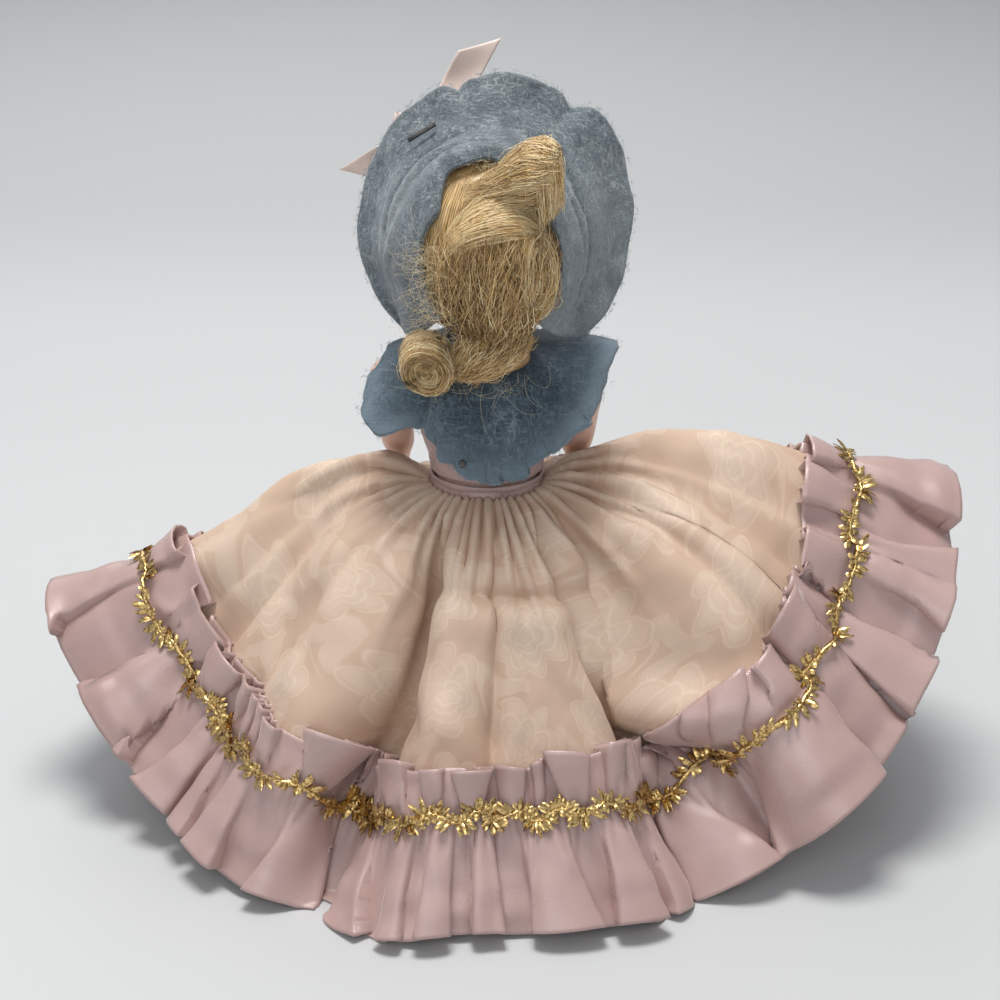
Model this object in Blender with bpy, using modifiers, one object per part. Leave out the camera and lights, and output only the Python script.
"""Topsy turvy doll: two small half dolls joined at the waist, back to one full skirt.

The upper doll wears a felt bonnet and capelet. The other half doll stands on its head inside the
skirt, which turns inside out to hide one half and show the other.
Metres, +Z up. Both half dolls face -Y. The origin is the flat spot on which the lower crown rests.
"""

import bmesh
import bpy
import numpy as np
from mathutils import Matrix, Vector

# Moulded half doll, the same mould twice. Heights are measured from the waist towards the crown.
TORSO_HEIGHT = 0.0245
TORSO_WIDTH = 0.0262
TORSO_DEPTH = 0.0180
TORSO_WALL = 0.0014
SHOULDER_DROP = 0.0050
SHOULDER_FACE = 0.0126
NECK_HOLE_RADIUS = 0.0040
NECK_RADIUS = 0.0052
NECK_LENGTH = 0.0034
HEAD_HEIGHT = 0.0310
HEAD_WIDTH = 0.0262
HEAD_DEPTH = 0.0272
HEAD_WALL = 0.0015
NOSE_LENGTH = 0.0012
WAIST_GAP = 0.0006
CLEARANCE = 0.0004
SHOULDER_HEIGHT = TORSO_HEIGHT - SHOULDER_DROP

# (height, width, depth) of each ring of the torso, from the neck opening down to the waist.
TORSO_RING_SHARES = (
    (0.975, 0.46, 0.60),
    (0.90, 0.82, 0.82),
    (0.80, 1.00, 0.96),
    (0.62, 0.90, 0.99),
    (0.42, 0.82, 0.93),
    (0.24, 0.71, 0.83),
    (0.10, 0.67, 0.79),
    (0.00, 0.67, 0.79),
)
# (height above the chin, half width, front, back) of each ring of the head, from the crown down.
HEAD_RING_SHARES = (
    (0.985, 0.24, 0.25, 0.27),
    (0.94, 0.50, 0.50, 0.54),
    (0.86, 0.73, 0.73, 0.78),
    (0.75, 0.90, 0.89, 0.94),
    (0.61, 0.99, 0.97, 1.00),
    (0.47, 1.00, 0.96, 0.98),
    (0.38, 0.98, 0.97, 0.93),
    (0.28, 0.92, 0.95, 0.86),
    (0.16, 0.78, 0.93, 0.70),
    (0.06, 0.58, 0.80, 0.50),
)
NOSE_RING_SHARE = 0.38

# Neck plug: a mushroom that hangs the head in the torso and lets it turn.
PLUG_STEM_RADIUS = 0.0033
PLUG_FLANGE_RADIUS = 0.0048
PLUG_FLANGE_THICKNESS = 0.0009
PLUG_STEM_REACH = 0.0046

# Arm, strung on elastic through the shoulders.
ARM_LENGTH = 0.0350
ARM_RADIUS = 0.0041
ARM_HOLE_RADIUS = 0.0019
# (out, forward, down, half width, half thickness): places in arm lengths, sizes in arm radii.
ARM_RING_SHARES = (
    (0.090, 0.000, -0.085, 0.55, 0.55),
    (0.088, 0.000, -0.055, 0.86, 0.86),
    (0.088, 0.002, 0.000, 1.00, 1.00),
    (0.090, 0.012, 0.100, 0.95, 0.95),
    (0.088, 0.038, 0.220, 0.84, 0.84),
    (0.084, 0.090, 0.370, 0.76, 0.76),
    (0.082, 0.185, 0.505, 0.70, 0.70),
    (0.082, 0.290, 0.630, 0.54, 0.54),
    (0.082, 0.345, 0.695, 0.46, 0.46),
    (0.080, 0.405, 0.765, 0.68, 0.38),
    (0.076, 0.465, 0.830, 0.66, 0.32),
    (0.072, 0.515, 0.880, 0.36, 0.22),
)
# The upper doll's fingertips rest on the skirt, which falls by this share of the way forward from the
# waistband's front.
HAND_REST_SHARE = 0.4348
HOOK_WIRE_RADIUS = 0.00040
HOOK_EYE_RADIUS = 0.00125
HOOK_STEM_LENGTH = 0.0034
ELASTIC_RADIUS = 0.00070

# Waist: a wooden plug inside, a satin band outside.
WAIST_PLUG_REACH = 0.0120
WAISTBAND_HEIGHT = 0.0046
WAISTBAND_THICKNESS = 0.0007
BODICE_THICKNESS = 0.0005
BODICE_RING_SHARES = (0.61, 0.42, 0.24, 0.12)

# Mohair wigs.
WIG_THICKNESS = 0.0012
WIG_CLEARANCE = 0.0007
CROWN_FLAT_DEPTH = 0.0005
# (angle from the face towards the doll's side, height share of the hairline).
HAIRLINE_SHARES = ((0, 0.80), (35, 0.74), (60, 0.52), (85, 0.30), (120, 0.16), (180, 0.12))
# Dressed hair of the upper doll. Turns are degrees from the face towards the doll's left.
PAD_FLATNESS = 0.25
BACK_HAIR_SIZE = (30.0, 0.28, 0.0028)
BACK_HAIR_PLACE = (187.0, 0.49)
CROWN_ROLL_HALF_SIZES = (0.0072, 0.0045, 0.0045)
CROWN_ROLL_PLACE = (202.0, 0.87)
NAPE_HAIR_WIDTH = 0.0120
NAPE_HAIR_HEIGHT = 0.0062
NAPE_HAIR_THICKNESS = 0.0042
NAPE_DROP = 0.0036
NAPE_SHIFT = 0.0019
SIDE_CURL_RADIUS = 0.0042
SIDE_CURL_LENGTH = 0.0076
SIDE_CURL_TILT = 68.0
SIDE_CURL_RISE = -0.0008

# Felt bonnet, as turns about the head's fore and aft axis from its top towards the doll's left.
BONNET_RADIUS = 0.0240
BONNET_FELT = 0.0011
BONNET_HALF_TURN = 141.0
BONNET_FRONT = 0.0092
BONNET_DEPTH = 0.0220
BONNET_SHIFT = 0.0015
BONNET_LIFT = 0.0006
CREASE_BACK_SHARE = 0.555
# (turn, radius share of the brim, share of the depth behind its foremost edge).
BRIM_SHARES = (
    (-141, 0.93, 0.44), (-128, 0.95, 0.38), (-112, 0.94, 0.26), (-98, 0.93, 0.18), (-76, 0.96, 0.08),
    (-56, 1.03, 0.03), (-41, 1.06, 0.0), (-32, 0.96, 0.0), (-24, 1.03, 0.0), (-5, 1.06, 0.0),
    (8, 1.02, 0.0), (15, 0.94, 0.0), (21, 1.03, 0.0), (35, 1.02, 0.02), (58, 0.96, 0.05),
    (85, 0.94, 0.10), (106, 0.93, 0.22), (120, 0.92, 0.34), (133, 0.90, 0.42), (141, 0.88, 0.48),
)
# (turn, radius share of the crease where the felt leaves the head).
CREASE_SHARES = (
    (-141, 0.83), (-126, 0.73), (-110, 0.69), (-80, 0.67), (0, 0.72), (80, 0.67), (110, 0.69),
    (126, 0.73), (141, 0.83),
)
# (turn, radius share of the opening at the back of the head, share of the depth).
OPENING_SHARES = (
    (-141, 0.48, 0.99), (-110, 0.49, 0.96), (-60, 0.50, 0.95), (-25, 0.61, 0.82), (0, 0.66, 0.76),
    (18, 0.64, 0.78), (45, 0.46, 0.98), (100, 0.42, 1.01), (141, 0.46, 1.01),
)
BONNET_COLUMNS = 38
HUG_SWELL = 0.0007
FLARE_SHARES = (0.42, 0.62)


# Satin ribbon bow on the brim's front, and the wire staple that holds it.
BOW_RIBBON_WIDTH = 0.0056
BOW_RIBBON_THICKNESS = 0.0005
BOW_LOOP_FATNESS = 0.0020
BOW_LOOP_WIDTH = 0.0036
BOW_KNOT_RADIUS = 0.0016
BOW_TURN = 31.5
TAIL_START = 0.0006
# (name, form, length, direction from the knot as a vector).
BOW_PARTS = (
    ("bow_loop_left", "loop", 0.0070, (0.80, -0.68, 0.10)),
    ("bow_loop_right", "loop", 0.0080, (-0.84, -0.50, 0.30)),
    ("bow_tail_up", "tail", 0.0195, (-0.42, -0.50, 0.74)),
    ("bow_tail_side", "tail", 0.0190, (0.74, -0.42, -0.52)),
)
STAPLE_WIDTH = 0.0053
STAPLE_WIRE_RADIUS = 0.00042
STAPLE_ROW_SHARE = 0.75


# Felt capelet: its outer edge as (angle from the back towards the doll's left, reach, drop).
CAPE_REACH = 0.0240
CAPE_DROP = 0.0210
CAPE_FELT = 0.0011
CAPE_NECK_RADIUS = 0.0068
CAPE_LIFT = 0.0016
CAPE_EDGE_SHARES = (
    (150, 0.45, 0.24), (128, 0.50, 0.12), (110, 0.60, 0.05), (92, 0.72, 0.06), (82, 0.84, 0.12),
    (70, 0.95, 0.55), (62, 0.86, 0.70), (54, 0.73, 0.66), (42, 0.63, 0.70), (33, 0.60, 0.84),
    (13, 0.56, 0.95), (0, 0.55, 1.00), (-24, 0.59, 0.95), (-42, 0.62, 0.78), (-60, 0.76, 0.69),
    (-72, 0.87, 0.40), (-77, 0.92, 0.16), (-84, 0.99, 0.03), (-95, 0.86, 0.05), (-110, 0.63, 0.06),
    (-128, 0.50, 0.12), (-150, 0.45, 0.24),
)
CAPE_COLUMNS = 32
CAPE_ROW_SHARES = (0.0, 0.28, 0.52, 0.76, 1.0)
CAPE_SHOULDER_CURVE = 0.0022
CAPE_PIN_RADIUS = 0.0007


# Full skirt, one slant length from the waist to the ruffle's edge all the way round.
SKIRT_SLANT = 0.0725
SKIRT_CLOTH = 0.0005
LINING_CLOTH = 0.0004
SKIRT_STATIONS = 72
SKIRT_HEM_SHARE = 0.78
SKIRT_ROW_SHARES = (0.0, 0.09, 0.22, 0.38, 0.50, 0.61, 0.735, 0.78)
LINING_ROW_SHARES = (0.09, 0.22, 0.38, 0.50, 0.61, 0.735)
# (angle round, slant there as a share): the cloth is kicked out between the back's deep folds.
SLANT_SHARES = (
    (0, 1.02), (25, 1.03), (48, 1.04), (68, 1.06), (88, 1.01), (108, 1.02), (125, 1.05), (150, 1.05),
    (168, 1.03), (182, 1.01), (270, 1.0), (340, 1.0),
)
# (angle round, how far the cloth stands off its chord as a share of the slant).
BULGE_SHARES = (
    (0, 0.115), (30, 0.09), (60, 0.06), (130, 0.06), (155, 0.09), (181, 0.15), (200, 0.08),
    (270, 0.05), (330, 0.06),
)
BULGE_EARLY = 0.65
# (angle round, how much of the bulge gathers close under the waist).
EARLY_SHARES = ((0, 1.0), (30, 0.6), (60, 0.0), (181, 0.0), (300, 0.0), (345, 1.0))
EARLY_PEAK = 0.25
# (angle round from the doll's left towards its back, slope as a share of the slope that meets the floor).
SLOPE_SHARES = (
    (0, 0.44), (5, 0.60), (10, 0.76), (25, 0.93), (40, 1.0), (90, 1.0), (130, 1.0), (145, 0.86),
    (157, 0.72), (163, 0.58), (169, 0.45), (175, 0.27), (181, 0.18), (187, 0.14), (195, 0.22),
    (205, 0.42), (220, 0.80), (235, 1.0), (270, 1.0), (300, 1.0), (320, 0.93), (335, 0.74),
    (348, 0.50), (355, 0.42),
)
# (angle, half width in degrees, depth share) of the deep folds between the skirt's panels.
FOLD_DEPTH = 0.0095
FOLD_START = 0.24
FOLD_SHARES = (
    (5, 9, 0.25), (60, 11, 1.0), (135, 11, 1.0), (175, 10, 0.45), (205, 10, 0.7), (245, 11, 0.9),
    (295, 11, 0.9), (335, 10, 0.6),
)
PANEL_LIFT_SHARE = 0.30
WAIST_GATHERS = 18
WAIST_GATHER_HEIGHT = 0.0010

# Satin ruffle, gathered under a gold braid.
RUFFLE_CLOTH = 0.0005
RUFFLE_COLUMNS = 144
RUFFLE_PLEATS = 36
GATHER_LINE_SHARE = 0.735
RUFFLE_TOP_SHARE = 0.610
RUFFLE_MIDDLE_SHARE = 0.87
RUFFLE_TOP_WAVE = 0.0026
RUFFLE_MIDDLE_WAVE = 0.0024
RUFFLE_HEM_WAVE = 0.0050
RUFFLE_STANDOFF = 0.0005
BRAID_RADIUS = 0.0013

# Mesh fineness.
ROUND_SIDES = 20
ARM_SIDES = 10
TUBE_RESOLUTION = 1
OVERRUN = 0.0050


def smooth_curve(stations, x, period=None):
    """Cosine-eased interpolation through (x, value) stations, once round if a period is given."""
    xs = np.array([s[0] for s in stations], float)
    values = np.array([s[1] for s in stations], float)
    order = np.argsort(xs)
    xs, values = xs[order], values[order]
    if period:
        xs = np.concatenate([xs[-1:] - period, xs, xs[:1] + period])
        values = np.concatenate([values[-1:], values, values[:1]])
        x = np.mod(x, period)
    at = np.clip(np.searchsorted(xs, x, side="right") - 1, 0, len(xs) - 2)
    t = np.clip((x - xs[at]) / (xs[at + 1] - xs[at]), 0, 1)
    eased = (1 - np.cos(np.pi * t)) / 2
    return values[at] + (values[at + 1] - values[at]) * eased


# Scene helpers.


def clear_scene():
    for obj in list(bpy.data.objects):
        bpy.data.objects.remove(obj)


def new_collection(name):
    collection = bpy.data.collections.new(name)
    bpy.context.scene.collection.children.link(collection)
    return collection


def new_material(name, colour, roughness, metallic=0.0):
    material = bpy.data.materials.new(name)
    material.use_nodes = True
    shader = material.node_tree.nodes["Principled BSDF"]
    shader.inputs["Base Color"].default_value = (*colour, 1.0)
    shader.inputs["Roughness"].default_value = roughness
    shader.inputs["Metallic"].default_value = metallic
    return material


def new_pivot(name, place, parent=None, turn=(0, 0, 0)):
    """An empty on a joint's axis, or at a half doll's waist."""
    pivot = bpy.data.objects.new(name, None)
    DOLL.objects.link(pivot)
    pivot.parent = parent
    pivot.location = place
    pivot.rotation_euler = turn
    return pivot


def add_piece(name, mesh, material, pivot=None, offset=(0, 0, 0)):
    """One object from a mesh in its half doll's frame. The pivot stands at offset in that frame."""
    mesh.transform(Matrix.Translation(-Vector(offset)))
    mesh.materials.clear()
    mesh.materials.append(material)
    mesh.shade_smooth()
    obj = bpy.data.objects.new(name, mesh)
    DOLL.objects.link(obj)
    obj.parent = pivot
    return obj


def thicken(obj, thickness, outward):
    """Gives an open sheet its wall, outside or inside the sheet."""
    modifier = obj.modifiers.new("Wall", "SOLIDIFY")
    modifier.thickness = thickness
    modifier.offset = 1.0 if outward else -1.0
    return obj


def cut_away(obj, cutter_mesh, pivot=None):
    """Takes the cutter's shape out of obj. The cutter stands in the same frame as the piece."""
    cutter = bpy.data.objects.new(obj.name + "_cutter", cutter_mesh)
    CUTTERS.objects.link(cutter)
    cutter.parent = pivot
    cutter.hide_render = True
    cutter.display_type = "WIRE"
    modifier = obj.modifiers.new("Cut", "BOOLEAN")
    modifier.object = cutter
    modifier.operation = "DIFFERENCE"
    return obj


# Mesh helpers. Columns run round a piece and rows run down it, so faces point outwards.


def sheet_mesh(name, points, closed):
    """A mesh of quads over a grid of points, rows by columns."""
    rows, columns = points.shape[:2]
    index = np.arange(rows * columns).reshape(rows, columns)
    right = np.roll(index, -1, axis=1)
    if not closed:
        index, right = index[:, :-1], right[:, :-1]
    faces = np.stack([index[:-1], index[1:], right[1:], right[:-1]], axis=-1).reshape(-1, 4)
    mesh = bpy.data.meshes.new(name)
    mesh.from_pydata(points.reshape(-1, 3).tolist(), [], faces.tolist())
    return mesh


def loft_mesh(name, rings, cap_first=True, cap_last=True):
    """A mesh through closed rings of points, with a point at the middle of each capped end."""
    mesh = sheet_mesh(name, rings, closed=True)
    work = bmesh.new()
    work.from_mesh(mesh)
    work.verts.ensure_lookup_table()
    rows, columns = rings.shape[:2]
    for capped, row in ((cap_first, 0), (cap_last, rows - 1)):
        if not capped:
            continue
        ring = [work.verts[row * columns + c] for c in range(columns)]
        tip = work.verts.new(rings[row].mean(axis=0))
        for a, b in zip(ring, ring[1:] + ring[:1]):
            work.faces.new((tip, a, b) if row == 0 else (tip, b, a))
        work.verts.ensure_lookup_table()
    work.to_mesh(mesh)
    work.free()
    return mesh


def facing_out(mesh):
    """The closed mesh with its faces turned outwards."""
    work = bmesh.new()
    work.from_mesh(mesh)
    bmesh.ops.recalc_face_normals(work, faces=work.faces)
    work.to_mesh(mesh)
    work.free()
    return mesh


def cylinder_mesh(name, radius, length, place=(0, 0, 0), along="Z", sides=ROUND_SIDES, squeeze=1.0):
    """A solid cylinder centred on place. Squeeze flattens it along Y."""
    mesh = bpy.data.meshes.new(name)
    work = bmesh.new()
    bmesh.ops.create_cone(
        work, cap_ends=True, segments=sides, radius1=radius, radius2=radius, depth=length
    )
    work.to_mesh(mesh)
    work.free()
    mesh.transform(Matrix.Diagonal((1.0, squeeze, 1.0, 1.0)))
    if along == "X":
        mesh.transform(Matrix.Rotation(np.pi / 2, 4, "Y"))
    mesh.transform(Matrix.Translation(Vector(place)))
    return mesh


def ball_mesh(name, half_sizes, place, sides=12, rings=8):
    """A ball stretched to three half sizes."""
    mesh = bpy.data.meshes.new(name)
    work = bmesh.new()
    bmesh.ops.create_uvsphere(work, u_segments=sides, v_segments=rings, radius=1.0)
    work.to_mesh(mesh)
    work.free()
    mesh.transform(Matrix.Diagonal((*half_sizes, 1.0)))
    mesh.transform(Matrix.Translation(Vector(place)))
    return mesh


def box_mesh(name, low, high):
    mesh = bpy.data.meshes.new(name)
    work = bmesh.new()
    bmesh.ops.create_cube(work, size=1.0)
    work.to_mesh(mesh)
    work.free()
    low, high = Vector(low), Vector(high)
    mesh.transform(Matrix.Diagonal((*(high - low), 1.0)))
    mesh.transform(Matrix.Translation((low + high) / 2))
    return mesh


def tube_mesh(name, points, radius, closed=False, resolution=TUBE_RESOLUTION):
    """A round wire or cord along points, as a mesh with welded caps."""
    curve = bpy.data.curves.new(name, "CURVE")
    curve.dimensions = "3D"
    curve.bevel_depth = radius
    curve.bevel_resolution = resolution
    curve.use_fill_caps = not closed
    spline = curve.splines.new("POLY")
    spline.points.add(len(points) - 1)
    for point, place in zip(spline.points, points):
        point.co = (*place, 1.0)
    spline.use_cyclic_u = closed
    holder = bpy.data.objects.new(name + "_line", curve)
    CUTTERS.objects.link(holder)
    evaluated = holder.evaluated_get(bpy.context.evaluated_depsgraph_get())
    mesh = bpy.data.meshes.new_from_object(evaluated)
    bpy.data.objects.remove(holder)
    work = bmesh.new()
    work.from_mesh(mesh)
    bmesh.ops.remove_doubles(work, verts=work.verts, dist=radius * MERGE_SHARE)
    work.to_mesh(mesh)
    work.free()
    return facing_out(mesh)


MERGE_SHARE = 0.01


# Moulded half doll.


def torso_rings(grow=0.0, height_shares=None):
    """Rings of the torso's surface, grown outwards, at height shares from the top down."""
    heights, widths, depths = np.array(TORSO_RING_SHARES).T
    at = heights if height_shares is None else np.array(height_shares)
    widths = np.interp(at, heights[::-1], widths[::-1]) * TORSO_WIDTH / 2 + grow
    depths = np.interp(at, heights[::-1], depths[::-1]) * TORSO_DEPTH / 2 + grow
    angle = np.arange(ROUND_SIDES) * 2 * np.pi / ROUND_SIDES
    x = np.clip(widths[:, None] * np.cos(angle), -SHOULDER_FACE - grow, SHOULDER_FACE + grow)
    y = depths[:, None] * np.sin(angle)
    z = np.repeat(at[:, None] * TORSO_HEIGHT, ROUND_SIDES, axis=1)
    return np.stack([x, y, z], axis=-1)


def build_torso(name, doll):
    """Hollow upper body, open at the waist and the neck, with an arm hole through both shoulders."""
    angle = np.arange(ROUND_SIDES) * 2 * np.pi / ROUND_SIDES
    neck_edge = np.stack(
        [
            NECK_HOLE_RADIUS * np.cos(angle),
            NECK_HOLE_RADIUS * np.sin(angle),
            np.full(ROUND_SIDES, TORSO_HEIGHT),
        ],
        axis=-1,
    )
    rings = torso_rings()
    rings[-1, :, 2] += WAIST_GAP / 2
    mesh = sheet_mesh(name, np.concatenate([neck_edge[None], rings]), closed=True)
    torso = thicken(add_piece(name, mesh, HARD_PLASTIC, doll), TORSO_WALL, outward=False)
    cutter = cylinder_mesh(
        name + "_arm_hole",
        ARM_HOLE_RADIUS,
        2 * (SHOULDER_FACE + OVERRUN),
        (0, 0, SHOULDER_HEIGHT),
        along="X",
    )
    return cut_away(torso, cutter, doll)


def head_surface(angle, share, grow=0.0):
    """Points on the head. Angle is from the face towards the doll's left, share is height above the chin."""
    heights, widths, fronts, backs = np.array(HEAD_RING_SHARES)[::-1].T
    heights = np.append(heights, 1.0)
    widths, fronts, backs = (np.append(v, 0.0) for v in (widths, fronts, backs))
    width = np.interp(share, heights, widths) * HEAD_WIDTH / 2
    front = np.interp(share, heights, fronts) * HEAD_DEPTH / 2
    back = np.interp(share, heights, backs) * HEAD_DEPTH / 2
    depth = np.where(np.cos(angle) > 0, front, back)
    chin = TORSO_HEIGHT + CLEARANCE + NECK_LENGTH
    middle = chin + HEAD_HEIGHT / 2
    x, y, z = width * np.sin(angle), -depth * np.cos(angle), chin + share * HEAD_HEIGHT
    length = np.sqrt(x**2 + y**2 + (z - middle) ** 2)
    swell = 1 + grow / length
    return np.stack([x * swell, y * swell, middle + (z - middle) * swell], axis=-1)


def build_head(name, doll, neck):
    """Hollow head with a short neck, open underneath."""
    angle = np.arange(ROUND_SIDES) * 2 * np.pi / ROUND_SIDES
    shares = np.array([s[0] for s in HEAD_RING_SHARES])
    rings = head_surface(angle[None, :], shares[:, None])
    nose_row = int(np.argmin(abs(shares - NOSE_RING_SHARE)))
    rings[nose_row, 0, 1] -= NOSE_LENGTH
    neck_foot = TORSO_HEIGHT + CLEARANCE
    neck_rings = [
        np.stack(
            [
                radius * np.sin(angle),
                -radius * np.cos(angle),
                np.full(ROUND_SIDES, neck_foot + height),
            ],
            axis=-1,
        )
        for radius, height in ((NECK_RADIUS, NECK_LENGTH), (NECK_RADIUS, 0.0))
    ]
    mesh = loft_mesh(name, np.concatenate([rings, neck_rings]), cap_first=True, cap_last=False)
    head = add_piece(name, mesh, HARD_PLASTIC, neck, (0, 0, TORSO_HEIGHT))
    return thicken(head, HEAD_WALL, outward=False)


def build_neck_plug(name, neck):
    """Turned mushroom: a flange between the arm elastic and the torso's neck rim, and a stem into the neck."""
    flange_top = SHOULDER_HEIGHT + ELASTIC_RADIUS + CLEARANCE + PLUG_FLANGE_THICKNESS
    profile = (
        (PLUG_STEM_RADIUS, TORSO_HEIGHT + PLUG_STEM_REACH),
        (PLUG_STEM_RADIUS, flange_top),
        (PLUG_FLANGE_RADIUS, flange_top),
        (PLUG_FLANGE_RADIUS, flange_top - PLUG_FLANGE_THICKNESS),
    )
    angle = np.arange(ROUND_SIDES) * 2 * np.pi / ROUND_SIDES
    rings = np.array(
        [
            np.stack(
                [radius * np.cos(angle), radius * np.sin(angle), np.full(ROUND_SIDES, height)],
                axis=-1,
            )
            for radius, height in profile
        ]
    )
    return add_piece(name, facing_out(loft_mesh(name, rings)), WOOD, neck, (0, 0, TORSO_HEIGHT))


def build_arm(name, side, shoulder):
    """A slightly bent arm with a mitten hand. Side is +1 for the doll's left and -1 for its right."""
    shares = np.array(ARM_RING_SHARES)
    centres = shares[:, :3] * ARM_LENGTH
    angle = np.arange(ARM_SIDES) * 2 * np.pi / ARM_SIDES
    tangent = np.gradient(centres, axis=0)
    tangent /= np.linalg.norm(tangent, axis=1)[:, None]
    across = np.cross(tangent, [1.0, 0.0, 0.0])
    across /= np.linalg.norm(across, axis=1)[:, None]
    beside = np.cross(across, tangent)
    thick = shares[:, 4, None, None] * ARM_RADIUS
    broad = shares[:, 3, None, None] * ARM_RADIUS
    rings = (
        centres[:, None]
        + beside[:, None] * thick * np.cos(angle)[None, :, None]
        + across[:, None] * broad * np.sin(angle)[None, :, None]
    )
    rings[..., 0] = np.maximum(rings[..., 0], 0.0)
    x = side * (rings[..., 0] + SHOULDER_FACE + CLEARANCE)
    placed = np.stack([x, -rings[..., 1], SHOULDER_HEIGHT - rings[..., 2]], axis=-1)
    mesh = facing_out(loft_mesh(name, placed))
    return add_piece(name, mesh, HARD_PLASTIC, shoulder, (0, 0, SHOULDER_HEIGHT))


def arm_raise(fall_share):
    """How far an arm swings forward from hanging down, for its fingertips to meet a line that starts at
    the waistband's front and falls by fall_share of its way forward."""
    _, forward, down = ARM_RING_SHARES[-1][:3]
    reach = np.hypot(forward, down) * ARM_LENGTH
    fall = np.arctan(fall_share)
    _, start = waist_ring(np.pi / 2, band_outside())
    above_line = (SHOULDER_HEIGHT - fall_share * start) * np.cos(fall)
    return np.arccos(above_line / reach) - fall - np.arctan2(forward, down)


def build_arm_hook(name, side, shoulder):
    """Wire stem from the arm through the shoulder hole, ending in an eye for the elastic."""
    start = SHOULDER_FACE
    eye_centre = start - HOOK_STEM_LENGTH - HOOK_EYE_RADIUS
    turn = np.linspace(0, 2 * np.pi, 9)[:-1]
    line = [(start, 0.0), (start - HOOK_STEM_LENGTH + HOOK_WIRE_RADIUS * 2, 0.0)]
    line += [
        (eye_centre + HOOK_EYE_RADIUS * np.cos(t), HOOK_EYE_RADIUS * np.sin(t)) for t in turn[:-1]
    ]
    points = [(side * x, y, SHOULDER_HEIGHT) for x, y in line]
    mesh = tube_mesh(name, points, HOOK_WIRE_RADIUS)
    return add_piece(name, mesh, STEEL, shoulder, (0, 0, SHOULDER_HEIGHT))


def build_elastic(name, doll):
    """Round elastic between the two hooks, inside the torso."""
    end = SHOULDER_FACE - HOOK_STEM_LENGTH - 2 * HOOK_EYE_RADIUS - HOOK_WIRE_RADIUS - CLEARANCE
    points = [(x, 0.0, SHOULDER_HEIGHT) for x in np.linspace(-end, end, 3)]
    return add_piece(name, tube_mesh(name, points, ELASTIC_RADIUS), ELASTIC, doll)


def build_bodice(name, doll):
    """Close satin bodice from the waistband to under the arms."""
    rings = torso_rings(CLEARANCE, BODICE_RING_SHARES)
    mesh = sheet_mesh(name, rings, closed=True)
    return thicken(add_piece(name, mesh, SATIN, doll), BODICE_THICKNESS, outward=True)


def build_wig_cap(name, neck, material):
    """Mohair cap that covers the head behind the hairline."""
    angle = np.arange(ROUND_SIDES) * 2 * np.pi / ROUND_SIDES
    from_face = np.degrees(abs((angle + np.pi) % (2 * np.pi) - np.pi))
    hairline = smooth_curve(HAIRLINE_SHARES, from_face)
    rows = 1 - np.linspace(0.08, 1.0, 7)[:, None] ** 1.4 * (1 - hairline)[None, :]
    rings = head_surface(angle[None, :] + 0 * rows, rows, WIG_CLEARANCE)
    mesh = loft_mesh(name, rings, cap_first=True, cap_last=False)
    cap = add_piece(name, mesh, material, neck, (0, 0, TORSO_HEIGHT))
    return thicken(cap, WIG_THICKNESS, outward=True)


def doll_reach():
    """Waist to crown over the wig."""
    return TORSO_HEIGHT + CLEARANCE + NECK_LENGTH + HEAD_HEIGHT + WIG_CLEARANCE + WIG_THICKNESS


def waist_height():
    """The lower crown rests on the floor on a flat that is cut into its wig."""
    return doll_reach() - CROWN_FLAT_DEPTH


def flatten_crown(cap, neck):
    """Cuts the lower wig flat where it rests on the floor."""
    reach = HEAD_WIDTH + OVERRUN
    top = doll_reach() - CROWN_FLAT_DEPTH - TORSO_HEIGHT
    cutter = box_mesh(cap.name + "_flat", (-reach, -reach, top), (reach, reach, top + OVERRUN))
    return cut_away(cap, cutter, neck)


def build_half_doll(prefix, doll, hair, raise_arms):
    """The moulded pieces of one half doll, its hooks, elastic and wig cap."""
    neck = new_pivot(prefix + "neck_axis", (0, 0, TORSO_HEIGHT), doll)
    build_torso(prefix + "torso", doll)
    build_head(prefix + "head", doll, neck)
    build_neck_plug(prefix + "neck_plug", neck)
    build_elastic(prefix + "arm_elastic", doll)
    build_bodice(prefix + "bodice", doll)
    for word, side in (("left", 1), ("right", -1)):
        shoulder = new_pivot(
            prefix + "shoulder_axis_" + word, (0, 0, SHOULDER_HEIGHT), doll, (-raise_arms, 0, 0)
        )
        build_arm(prefix + "arm_" + word, side, shoulder)
        build_arm_hook(prefix + "arm_hook_" + word, side, shoulder)
    cap = build_wig_cap(prefix + "wig_cap", neck, hair)
    return neck, cap


# The upper doll's dressed hair.


def curved_pad(name, size, place, lift, neck, hair):
    """A pad of hair that lies close along the wig. Size is (half turn, half height share, thickness)
    and place is (turn from the face, height share)."""
    half_turn, half_share, thickness = size
    turn, share = place
    mesh = ball_mesh(name, (1.0, 1.0, 1.0), (0, 0, 0), 14, 8)
    unit = np.array([vertex.co[:] for vertex in mesh.vertices])
    outward = np.where(unit[:, 1] < 0, unit[:, 1] * PAD_FLATNESS, unit[:, 1])
    grow = WIG_CLEARANCE + WIG_THICKNESS + lift + (outward + PAD_FLATNESS) * thickness
    points = head_surface(
        np.radians(turn - unit[:, 0] * half_turn), share + unit[:, 2] * half_share, grow
    )
    mesh.vertices.foreach_set("co", points.ravel())
    return add_piece(name, facing_out(mesh), hair, neck, (0, 0, TORSO_HEIGHT))


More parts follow.
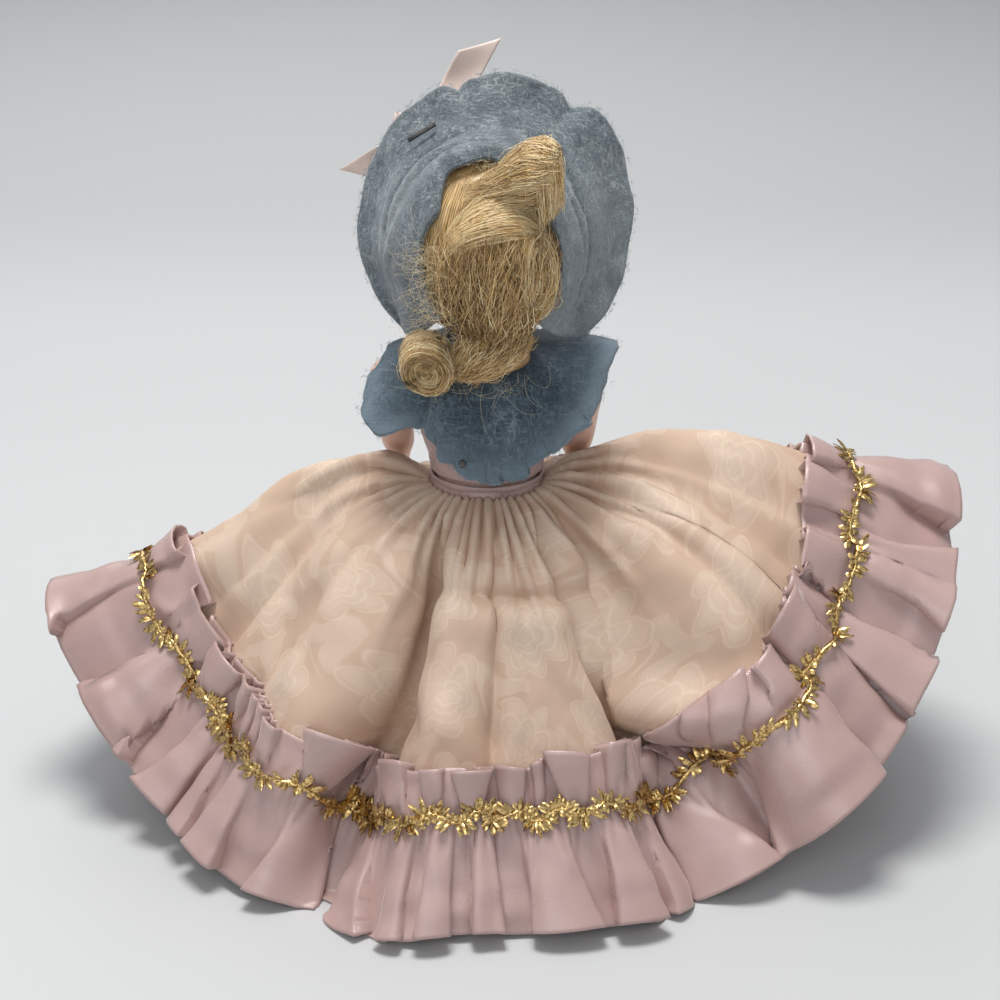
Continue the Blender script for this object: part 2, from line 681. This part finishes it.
def build_hair(neck):
    """Back hair, crown roll, nape hair and the long rolled curl over the left shoulder."""
    curved_pad("back_hair", BACK_HAIR_SIZE, BACK_HAIR_PLACE, CLEARANCE, neck, MOHAIR)
    on_wig = head_surface(np.radians(CROWN_ROLL_PLACE[0]), CROWN_ROLL_PLACE[1], WIG_CLEARANCE)
    away = on_wig - np.array([0, 0, TORSO_HEIGHT + CLEARANCE + NECK_LENGTH + HEAD_HEIGHT / 2])
    away /= np.linalg.norm(away)
    centre = on_wig + away * (WIG_THICKNESS + CLEARANCE + CROWN_ROLL_HALF_SIZES[2])
    roll = ball_mesh("crown_roll", CROWN_ROLL_HALF_SIZES, centre)
    add_piece("crown_roll", roll, MOHAIR, neck, (0, 0, TORSO_HEIGHT))
    nape_height = TORSO_HEIGHT + CLEARANCE + NECK_LENGTH - NAPE_DROP + NAPE_HAIR_HEIGHT / 2
    nape_back = NECK_RADIUS + CAPE_FELT + NAPE_HAIR_THICKNESS + CLEARANCE * 3
    nape = ball_mesh(
        "nape_hair",
        (NAPE_HAIR_WIDTH / 2, NAPE_HAIR_THICKNESS / 2, NAPE_HAIR_HEIGHT / 2),
        (-NAPE_SHIFT, nape_back, nape_height),
    )
    add_piece("nape_hair", nape, MOHAIR, neck, (0, 0, TORSO_HEIGHT))
    curl = cylinder_mesh("side_curl", SIDE_CURL_RADIUS, SIDE_CURL_LENGTH, sides=12)
    curl.transform(Matrix.Rotation(np.radians(SIDE_CURL_TILT), 4, "X"))
    curl_x = NAPE_HAIR_WIDTH / 2 - NAPE_SHIFT + CLEARANCE + SIDE_CURL_RADIUS
    curl_y = nape_back + SIDE_CURL_LENGTH / 4
    curl.transform(Matrix.Translation((curl_x, curl_y, nape_height + SIDE_CURL_RISE)))
    obj = add_piece("side_curl", curl, MOHAIR, neck, (0, 0, TORSO_HEIGHT))
    bevel = obj.modifiers.new("Soft ends", "BEVEL")
    bevel.width = SIDE_CURL_LENGTH / 4
    bevel.segments = 2


# Felt bonnet with its bow.


def bonnet_rows(turn):
    """Rows of the bonnet at turns in degrees: opening, hugging row, crease, flare and brim edge.

    Each row is (radius, how far back, sideways shift)."""
    opening_radius = smooth_curve([(a, r) for a, r, _ in OPENING_SHARES], turn) * BONNET_RADIUS
    opening_back = smooth_curve([(a, b) for a, _, b in OPENING_SHARES], turn) * BONNET_DEPTH
    brim_radius = smooth_curve([(a, r) for a, r, _ in BRIM_SHARES], turn) * BONNET_RADIUS
    brim_back = smooth_curve([(a, b) for a, _, b in BRIM_SHARES], turn) * BONNET_DEPTH
    crease_radius = smooth_curve(CREASE_SHARES, turn) * BONNET_RADIUS
    crease_back = CREASE_BACK_SHARE * BONNET_DEPTH + 0 * turn
    hug_radius = (opening_radius + crease_radius) / 2 + HUG_SWELL
    hug_back = (opening_back + crease_back) / 2 + HUG_SWELL
    out, forward = FLARE_SHARES
    flare_radius = crease_radius + (brim_radius - crease_radius) * out
    flare_back = crease_back + (brim_back - crease_back) * forward
    radii = np.array([opening_radius, hug_radius, crease_radius, flare_radius, brim_radius])
    backs = np.array([opening_back, hug_back, crease_back, flare_back, brim_back])
    shifts = np.array([0.0, 0.0, 0.0, out, 1.0]) * BONNET_SHIFT
    return radii, backs - BONNET_FRONT, shifts


def bonnet_points(turn):
    """The bonnet's inner face as rows of points at turns in degrees."""
    turn = np.atleast_1d(np.asarray(turn, float))
    radii, backs, shifts = bonnet_rows(turn)
    centre = TORSO_HEIGHT + CLEARANCE + NECK_LENGTH + HEAD_HEIGHT / 2 + BONNET_LIFT
    angle = np.radians(turn)
    x = radii * np.sin(angle) - shifts[:, None]
    z = centre + radii * np.cos(angle)
    return np.stack([x, backs, z], axis=-1)


def build_bonnet(neck):
    """One felt shape that hugs the head from behind and flares into a scalloped brim."""
    turn = np.linspace(-BONNET_HALF_TURN, BONNET_HALF_TURN, BONNET_COLUMNS + 1)
    mesh = sheet_mesh("bonnet", bonnet_points(turn), closed=False)
    bonnet = add_piece("bonnet", mesh, FELT, neck, (0, 0, TORSO_HEIGHT))
    return thicken(bonnet, BONNET_FELT, outward=True)


def on_bonnet(turn, row_share):
    """A place on the bonnet's inner face between its crease and flare rows, and the way out of the felt."""
    points = bonnet_points([turn - 1.0, turn, turn + 1.0])
    crease, flare = points[2], points[3]
    place = crease[1] + (flare[1] - crease[1]) * row_share
    out = np.cross(points[2, 2] - points[2, 0], flare[1] - crease[1])
    out /= np.linalg.norm(out)
    return place, out if out[2] > 0 else -out


def ribbon_loop(name, length, fatness, width):
    """A drop-shaped loop of ribbon in the XZ plane, with its pinched end at the origin."""
    count = 12
    turn = np.linspace(0, 2 * np.pi, count, endpoint=False)
    outline = np.stack([(1 - np.cos(turn)) / 2 * length, np.sin(turn) * fatness / 2], axis=-1)
    outline[:, 1] *= np.sqrt(np.clip(outline[:, 0] / length, 0.12, 1.0))
    return band_mesh(name, outline, width, BOW_RIBBON_THICKNESS)


def band_mesh(name, outline, width, thickness):
    """A closed band: an outline in the XZ plane with a wall inside it, as wide as the ribbon along Y."""
    following = np.roll(outline, -1, axis=0) - np.roll(outline, 1, axis=0)
    inward = np.stack([following[:, 1], -following[:, 0]], axis=-1)
    inward /= np.linalg.norm(inward, axis=1)[:, None]
    inner = outline + inward * thickness
    rings = []
    for edge, y in ((outline, -width / 2), (outline, width / 2), (inner, width / 2), (inner, -width / 2)):
        rings.append(np.stack([edge[:, 0], np.full(len(edge), y), edge[:, 1]], axis=-1))
    rings.append(rings[0])
    mesh = sheet_mesh(name, np.array(rings), closed=True)
    work = bmesh.new()
    work.from_mesh(mesh)
    bmesh.ops.remove_doubles(work, verts=work.verts, dist=thickness * MERGE_SHARE)
    work.to_mesh(mesh)
    work.free()
    return facing_out(mesh)


def ribbon_tail(name, length, width):
    """A flat ribbon end with a slanting cut, in the XZ plane from the origin along +X."""
    half = width / 2
    outline = ((0.0, -half * 0.5), (length - width, -half), (length, half), (0.0, half * 0.5))
    front = np.array([(x, -BOW_RIBBON_THICKNESS / 2, z) for x, z in outline])
    back = front + np.array([0.0, BOW_RIBBON_THICKNESS, 0.0])
    return facing_out(loft_mesh(name, np.array([front, back])))


def aimed(mesh, direction, start, broad_side_front):
    """Turns a mesh made along +X from the origin to point along direction from start."""
    along = Vector(direction).normalized()
    flat = Vector((0, 1, 0)) - along * along.y
    flat.normalize()
    across = along.cross(flat)
    sides = (flat, across) if broad_side_front else (across, flat)
    turned = Matrix((along, *sides)).transposed().to_4x4()
    mesh.transform(Matrix.Translation(Vector(start)) @ turned)
    return facing_out(mesh)


def build_bow(neck):
    """Ribbon bow: knot, two loops and two tails, stapled to the front of the brim."""
    on_felt, out = on_bonnet(BOW_TURN, 1.0)
    centre = on_felt - out * (BOW_KNOT_RADIUS + CLEARANCE)
    knot = ball_mesh("bow_knot", (BOW_KNOT_RADIUS,) * 3, centre, 10, 6)
    add_piece("bow_knot", knot, SATIN, neck, (0, 0, TORSO_HEIGHT))
    for name, form, length, direction in BOW_PARTS:
        if form == "loop":
            mesh = ribbon_loop(name, length, BOW_LOOP_FATNESS, BOW_LOOP_WIDTH)
        else:
            mesh = ribbon_tail(name, length, BOW_RIBBON_WIDTH)
        if form == "loop":
            mesh.transform(Matrix.Translation((BOW_KNOT_RADIUS + CLEARANCE, 0, 0)))
            aimed(mesh, direction, centre, broad_side_front=False)
        else:
            mesh.transform(Matrix.Translation((TAIL_START, 0, 0)))
            ahead = np.array([0, BOW_KNOT_RADIUS + CLEARANCE * 2 + BOW_RIBBON_THICKNESS, 0])
            aimed(mesh, direction, centre - ahead, broad_side_front=True)
        add_piece(name, mesh, SATIN, neck, (0, 0, TORSO_HEIGHT))
    behind, out = on_bonnet(BOW_TURN, STAPLE_ROW_SHARE)
    behind = behind + out * (BONNET_FELT + CLEARANCE + STAPLE_WIRE_RADIUS)
    side = np.array([np.cos(np.radians(BOW_TURN)), 0.0, -np.sin(np.radians(BOW_TURN))])
    span = np.linspace(-STAPLE_WIDTH / 2, STAPLE_WIDTH / 2, 3)
    line = [tuple(behind + side * s) for s in span]
    staple = tube_mesh("bow_staple", line, STAPLE_WIRE_RADIUS)
    add_piece("bow_staple", staple, STEEL, neck, (0, 0, TORSO_HEIGHT))


# Capelet.


def cape_surface(turn, share):
    """Points of the capelet: turn from the back towards the doll's left, share from neck to edge."""
    reach = smooth_curve([(a, r) for a, r, _ in CAPE_EDGE_SHARES], turn) * CAPE_REACH
    drop = smooth_curve([(a, d) for a, _, d in CAPE_EDGE_SHARES], turn) * CAPE_DROP
    angle = np.radians(turn)
    radius = CAPE_NECK_RADIUS + (reach - CAPE_NECK_RADIUS) * share
    hold = np.sin(np.pi * share) * CAPE_SHOULDER_CURVE * drop / CAPE_DROP
    radius = radius + hold
    top = TORSO_HEIGHT + CAPE_LIFT
    z = top - drop * share ** (1 + CAPE_SAG_SHARE)
    return np.stack([radius * np.sin(angle), radius * np.cos(angle), z], axis=-1)


CAPE_SAG_SHARE = 0.35


def build_capelet(doll):
    """Felt capelet: close to the back, standing out like wings over the shoulders, open in front."""
    first, last = CAPE_EDGE_SHARES[0][0], CAPE_EDGE_SHARES[-1][0]
    turn = np.linspace(first, last, CAPE_COLUMNS + 1)
    share = np.array(CAPE_ROW_SHARES)
    points = cape_surface(turn[None, :], share[:, None])
    mesh = sheet_mesh("capelet", points, closed=False)
    thicken(add_piece("capelet", mesh, FELT, doll), CAPE_FELT, outward=True)
    at = cape_surface(np.array(CAPE_PIN_TURN), np.array(CAPE_PIN_SHARE))
    outside = at * np.array([1.0, 1.0, 0.0])
    outside /= np.linalg.norm(outside)
    centre = at + outside * (CAPE_FELT + CLEARANCE + CAPE_PIN_RADIUS)
    pin = ball_mesh("cape_pin", (CAPE_PIN_RADIUS,) * 3, centre, 8, 6)
    add_piece("cape_pin", pin, STEEL, doll)


CAPE_PIN_TURN = 15.0
CAPE_PIN_SHARE = 0.86


# Skirt, lining, ruffle and braid.


def slant_and_slope(angle):
    """The cloth's length down the skirt at an angle round, and its slope below level."""
    slant = SKIRT_SLANT * smooth_curve(SLANT_SHARES, angle, 360.0)
    to_floor = np.arcsin(waist_height() / slant)
    return slant, smooth_curve(SLOPE_SHARES, angle, 360.0) * to_floor


def bulge(angle, share):
    """How far the cloth stands off its chord."""
    late = np.sin(np.pi * share**BULGE_EARLY)
    early = share / EARLY_PEAK * np.exp(1 - share / EARLY_PEAK) * (1 - share) / (1 - EARLY_PEAK)
    part = smooth_curve(EARLY_SHARES, angle, 360.0)
    return smooth_curve(BULGE_SHARES, angle, 360.0) * SKIRT_SLANT * (late + (early - late) * part)


def waist_ring(angle, grow):
    half_width = TORSO_RING_SHARES[-1][1] * TORSO_WIDTH / 2 + grow
    half_depth = TORSO_RING_SHARES[-1][2] * TORSO_DEPTH / 2 + grow
    return np.stack([half_width * np.cos(angle), half_depth * np.sin(angle)], axis=-1)


def band_outside():
    """How far the waistband's outside stands off the torso."""
    return CLEARANCE + WAISTBAND_THICKNESS


def skirt_stations():
    return np.arange(SKIRT_STATIONS) * 360.0 / SKIRT_STATIONS


def fold_shape(angle, share):
    """Depth of the deep folds and lift of the panels between them, along the cloth's normal."""
    along = np.sin(np.pi * np.clip(share, 0, 1) ** 0.8 * 0.72) * np.clip(share / FOLD_START, 0, 1)
    total = 0.0
    for centre, half_width, depth in FOLD_SHARES:
        away = (angle - centre + 180) % 360 - 180
        trough = np.exp(-((away / half_width) ** 2))
        shoulder = np.exp(-(((abs(away) - 2.1 * half_width) / half_width) ** 2))
        total = total + depth * (PANEL_LIFT_SHARE * shoulder - trough)
    return FOLD_DEPTH * along * total


def skirt_surface(angle, share):
    """Points and normals of the skirt: angle round in degrees, share of the slant length."""
    turn = np.radians(angle)
    start = waist_ring(turn, band_outside() + CLEARANCE)
    slant, slope = slant_and_slope(angle)
    out = slant * share * np.cos(slope)
    down = slant * share * np.sin(slope)
    lift = bulge(angle, share) + fold_shape(angle, share)
    lift = lift + WAIST_GATHER_HEIGHT * np.cos(turn * WAIST_GATHERS) * np.exp(-share * 9) * (share > 0)
    out = out + lift * np.sin(slope)
    down = down - lift * np.cos(slope)
    x = start[..., 0] + out * np.cos(turn)
    y = start[..., 1] + out * np.sin(turn)
    z = waist_height() - down
    return np.stack([x, y, z], axis=-1)


def grid_normals(points):
    """Unit normals of a grid of points that closes round its columns, facing outwards."""
    along = np.gradient(points, axis=0)
    around = np.roll(points, -1, axis=1) - np.roll(points, 1, axis=1)
    normal = np.cross(along, around)
    return normal / np.linalg.norm(normal, axis=-1)[..., None]


def skirt_grid(rows):
    """The skirt's points at its stations, for row shares."""
    angle = skirt_stations()
    share = np.array(rows)
    return skirt_surface(angle[None, :], share[:, None])


def station_blend(grid, column):
    """Points of a station grid at fractional columns, straight between stations as the cloth is."""
    low = np.floor(column).astype(int) % SKIRT_STATIONS
    high = (low + 1) % SKIRT_STATIONS
    part = (column - np.floor(column))[None, :, None]
    return grid[:, low] * (1 - part) + grid[:, high] * part


def build_skirt():
    """Brocade skirt, gathered at the waist, and the plain skirt of the lower doll inside it."""
    outer = sheet_mesh("outer_skirt", skirt_grid(SKIRT_ROW_SHARES), closed=True)
    thicken(add_piece("outer_skirt", outer, BROCADE), SKIRT_CLOTH, outward=True)
    points = skirt_grid(SKIRT_ROW_SHARES)
    inside = points - grid_normals(points) * (LINING_CLOTH + CLEARANCE)
    lining_points = np.empty((len(LINING_ROW_SHARES), SKIRT_STATIONS, 3))
    for axis in range(3):
        for station in range(SKIRT_STATIONS):
            lining_points[:, station, axis] = np.interp(
                LINING_ROW_SHARES, SKIRT_ROW_SHARES, inside[:, station, axis]
            )
    lining = sheet_mesh("inner_skirt", lining_points, closed=True)
    thicken(add_piece("inner_skirt", lining, LINING), LINING_CLOTH, outward=True)


def build_ruffle():
    """Satin ribbon gathered along the braid, with a narrow frill above and a wide one below."""
    shares = (RUFFLE_TOP_SHARE, GATHER_LINE_SHARE, RUFFLE_MIDDLE_SHARE, 1.0)
    waves = (RUFFLE_TOP_WAVE, 0.0, RUFFLE_MIDDLE_WAVE, RUFFLE_HEM_WAVE)
    base = skirt_grid(shares)
    column = np.arange(RUFFLE_COLUMNS) * SKIRT_STATIONS / RUFFLE_COLUMNS
    base, normal = station_blend(base, column), station_blend(grid_normals(base), column)
    pleat = -np.cos(2 * np.pi * RUFFLE_PLEATS * np.arange(RUFFLE_COLUMNS) / RUFFLE_COLUMNS) / 2
    off = SKIRT_CLOTH + RUFFLE_STANDOFF
    stand = np.array([off + RUFFLE_TOP_WAVE / 2, off, off + RUFFLE_MIDDLE_WAVE / 2, 0.0])
    lift = stand[:, None] + np.array(waves)[:, None] * pleat[None, :]
    points = base + normal * lift[..., None]
    points[..., 2] = np.maximum(points[..., 2], 0.0)
    mesh = sheet_mesh("ruffle", points, closed=True)
    thicken(add_piece("ruffle", mesh, SATIN), RUFFLE_CLOTH, outward=True)


def build_braid():
    """Gold gimp braid over the gathering line."""
    rows = np.array([GATHER_LINE_SHARE - 0.02, GATHER_LINE_SHARE, GATHER_LINE_SHARE + 0.02])
    fine = skirt_grid(rows)
    normal = grid_normals(fine)[1]
    lift = SKIRT_CLOTH + RUFFLE_STANDOFF + RUFFLE_CLOTH + CLEARANCE * 1.5 + BRAID_RADIUS
    line = fine[1] + normal * lift
    mesh = tube_mesh("gold_braid", line.tolist(), BRAID_RADIUS, closed=True)
    add_piece("gold_braid", mesh, GOLD)


def build_waist():
    """Wooden plug that joins the two torsos, and the satin waistband over the joint."""
    share = TORSO_RING_SHARES[-1]
    half_width = share[1] * TORSO_WIDTH / 2 - TORSO_WALL - CLEARANCE
    half_depth = share[2] * TORSO_DEPTH / 2 - TORSO_WALL - CLEARANCE
    plug = cylinder_mesh(
        "waist_plug",
        half_width,
        2 * WAIST_PLUG_REACH,
        (0, 0, waist_height()),
        squeeze=half_depth / half_width,
    )
    add_piece("waist_plug", plug, WOOD)
    angle = np.arange(ROUND_SIDES) * 2 * np.pi / ROUND_SIDES
    ring = waist_ring(angle, CLEARANCE)
    heights = (WAISTBAND_HEIGHT / 2, -WAISTBAND_HEIGHT / 2)
    rows = [
        np.column_stack([ring, np.full(ROUND_SIDES, waist_height() + height)]) for height in heights
    ]
    band = sheet_mesh("waistband", np.array(rows), closed=True)
    thicken(add_piece("waistband", band, SATIN), WAISTBAND_THICKNESS, outward=True)


# Assembly.

clear_scene()
DOLL = new_collection("topsy_turvy_doll")
CUTTERS = new_collection("cutters")

HARD_PLASTIC = new_material("painted_hard_plastic", (0.80, 0.55, 0.43), 0.45)
WOOD = new_material("wood", (0.62, 0.46, 0.28), 0.70)
STEEL = new_material("steel_wire", (0.12, 0.12, 0.13), 0.40, 1.0)
ELASTIC = new_material("elastic", (0.85, 0.82, 0.74), 0.80)
MOHAIR = new_material("blonde_mohair", (0.62, 0.43, 0.19), 0.60)
BROWN_MOHAIR = new_material("brown_mohair", (0.22, 0.12, 0.06), 0.60)
FELT = new_material("blue_felt", (0.17, 0.23, 0.29), 0.95)
SATIN = new_material("pink_satin", (0.66, 0.45, 0.43), 0.40)
BROCADE = new_material("peach_brocade", (0.72, 0.53, 0.39), 0.50)
LINING = new_material("lining_taffeta", (0.60, 0.42, 0.40), 0.50)
GOLD = new_material("gold_braid", (0.60, 0.42, 0.14), 0.35, 1.0)

WAIST = (0, 0, waist_height())
UPPER_ARMS_RAISED = arm_raise(HAND_REST_SHARE)
LOWER_ARMS_RAISED = np.radians(138.0)

upper = new_pivot("upper_doll", WAIST)
lower = new_pivot("lower_doll", WAIST, turn=(0, np.pi, 0))
upper_neck, _ = build_half_doll("", upper, MOHAIR, UPPER_ARMS_RAISED)
lower_neck, lower_cap = build_half_doll("under_", lower, BROWN_MOHAIR, LOWER_ARMS_RAISED)
flatten_crown(lower_cap, lower_neck)
build_hair(upper_neck)
build_bonnet(upper_neck)
build_bow(upper_neck)
build_capelet(upper)
build_waist()
build_skirt()
build_ruffle()
build_braid()
